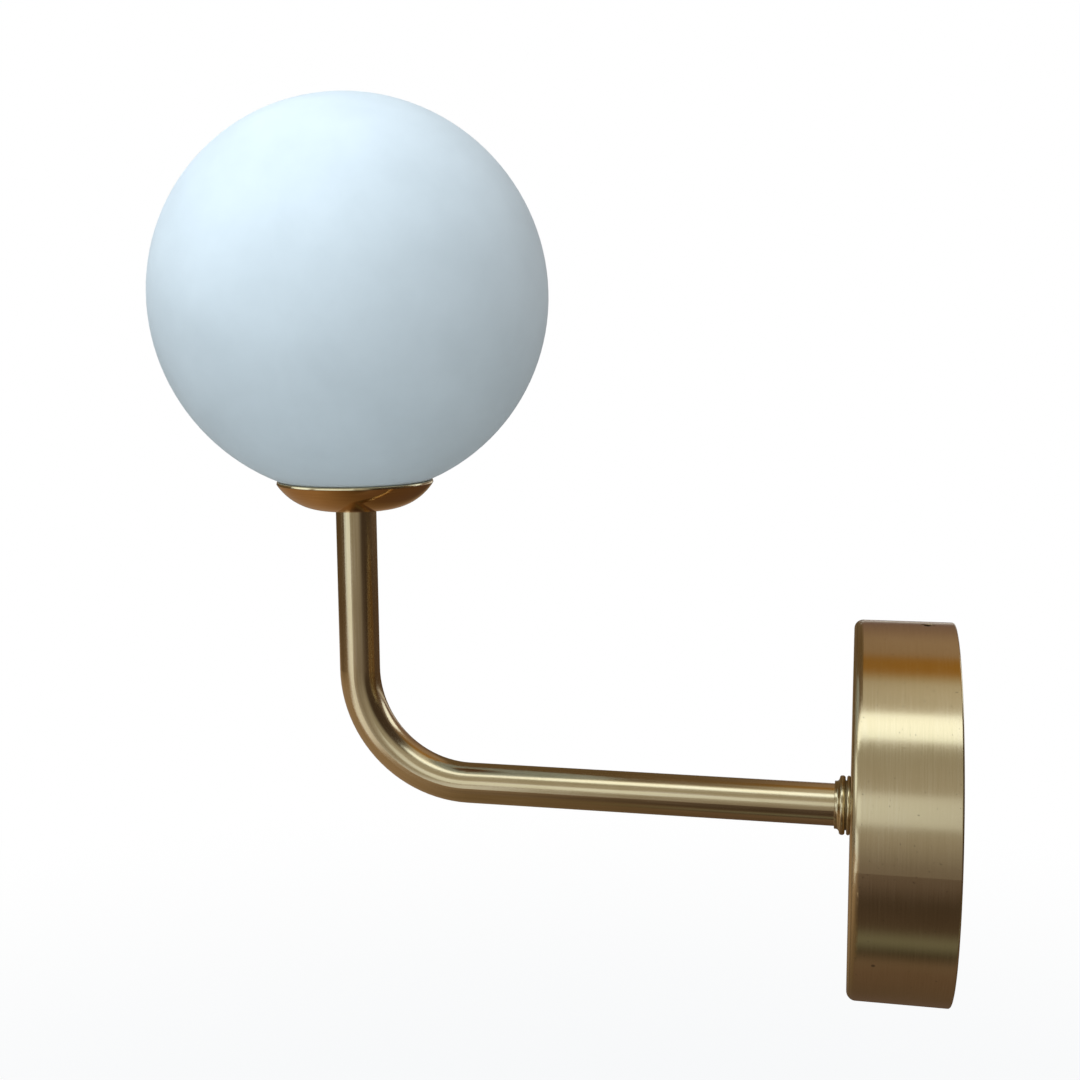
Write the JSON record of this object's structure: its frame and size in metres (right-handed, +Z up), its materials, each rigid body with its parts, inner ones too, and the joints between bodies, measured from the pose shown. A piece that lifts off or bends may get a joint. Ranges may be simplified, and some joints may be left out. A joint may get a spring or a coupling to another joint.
{
  "type": "globe wall sconce",
  "caption": "Wall light with a round brass canopy, a bent tube arm and an upturned opal glass globe that unscrews over a plug-in lamp.",
  "frame": {"origin": "centre of the wall bracket and of the canopy's rim, on the wall plane", "axes": "+Z up, +Y into the wall, the arm leaves the wall along -Y and turns up; +X to the right for someone who faces the wall"},
  "size_m": [0.12, 0.24, 0.265],
  "materials": {
    "brushed_brass": "fine circumferential brush, antique lacquer",
    "polished_brass": "polished, warm antique tint",
    "zinc_steel": "bright zinc plate",
    "turned_aluminium": "turned, plain",
    "raw_brass": "turned, plain",
    "spring_nickel": "nickel plated",
    "opal_glass": "opal white, satin etched outside",
    "clear_cover": "clear, smooth",
    "silicone": "translucent white silicone",
    "lamp_ceramic": "white",
    "holder_ceramic": "unglazed steatite",
    "white_nylon": "moulded nylon",
    "board_white": "white solder mask",
    "phosphor": "yellow phosphor silicone",
    "brown_lead": "brown silicone insulation",
    "blue_lead": "blue silicone insulation",
    "earth_lead": "green and yellow insulation"
  },
  "bodies": {
    "fixture": {"wall_bracket": "zinc_steel", "terminal_block": "white_nylon", "terminal_barrels": "raw_brass", "terminal_screws": "zinc_steel", "bracket_earth_tag": "spring_nickel", "arm_earth_tag": "spring_nickel", "earth_washer": "zinc_steel", "earth_screw": "zinc_steel", "block_screw": "zinc_steel", "canopy": "brushed_brass", "canopy_screws": "zinc_steel", "arm_collar": "brushed_brass", "arm_tube": "brushed_brass", "arm_nipple": "zinc_steel", "arm_washer": "zinc_steel", "arm_nut": "zinc_steel", "arm_bush": "white_nylon", "dish": "polished_brass", "holder_nipple": "zinc_steel", "carrier_spacer": "turned_aluminium", "shade_carrier": "turned_aluminium", "carrier_nut": "zinc_steel", "holder_bush": "white_nylon", "holder_cradle": "zinc_steel", "holder_screws": "zinc_steel", "lampholder": "holder_ceramic", "holder_contacts": "spring_nickel", "live_wire": "brown_lead", "neutral_wire": "blue_lead", "earth_wire": "earth_lead"},
    "lamp": {"lamp_base": "lamp_ceramic", "lamp_pins": "spring_nickel", "lamp_cover": "clear_cover", "lamp_board": "board_white", "lamp_chips": "phosphor"},
    "soft_ring": {"glass_gasket": "silicone"},
    "glass": {"globe": "opal_glass"}
  },
  "joints": [
    {"name": "globe_lift", "type": "slide", "parent": "fixture", "child": "soft_ring", "axis": [0, 0, 1], "range_m": [0, 0.008]},
    {"name": "globe_turn", "type": "hinge", "parent": "soft_ring", "child": "glass", "pos_m": [0, -0.18, 0.15], "axis": [0, 0, 1], "range_deg": [0, 720]},
    {"name": "lamp_plug", "type": "slide", "parent": "fixture", "child": "lamp", "axis": [0, 0, 1], "range_m": [0, 0.008]}
  ],
  "couplings": [
    {"joint": "globe_lift", "follows": "globe_turn", "m_per_rad": 0.0006366}
  ]
}
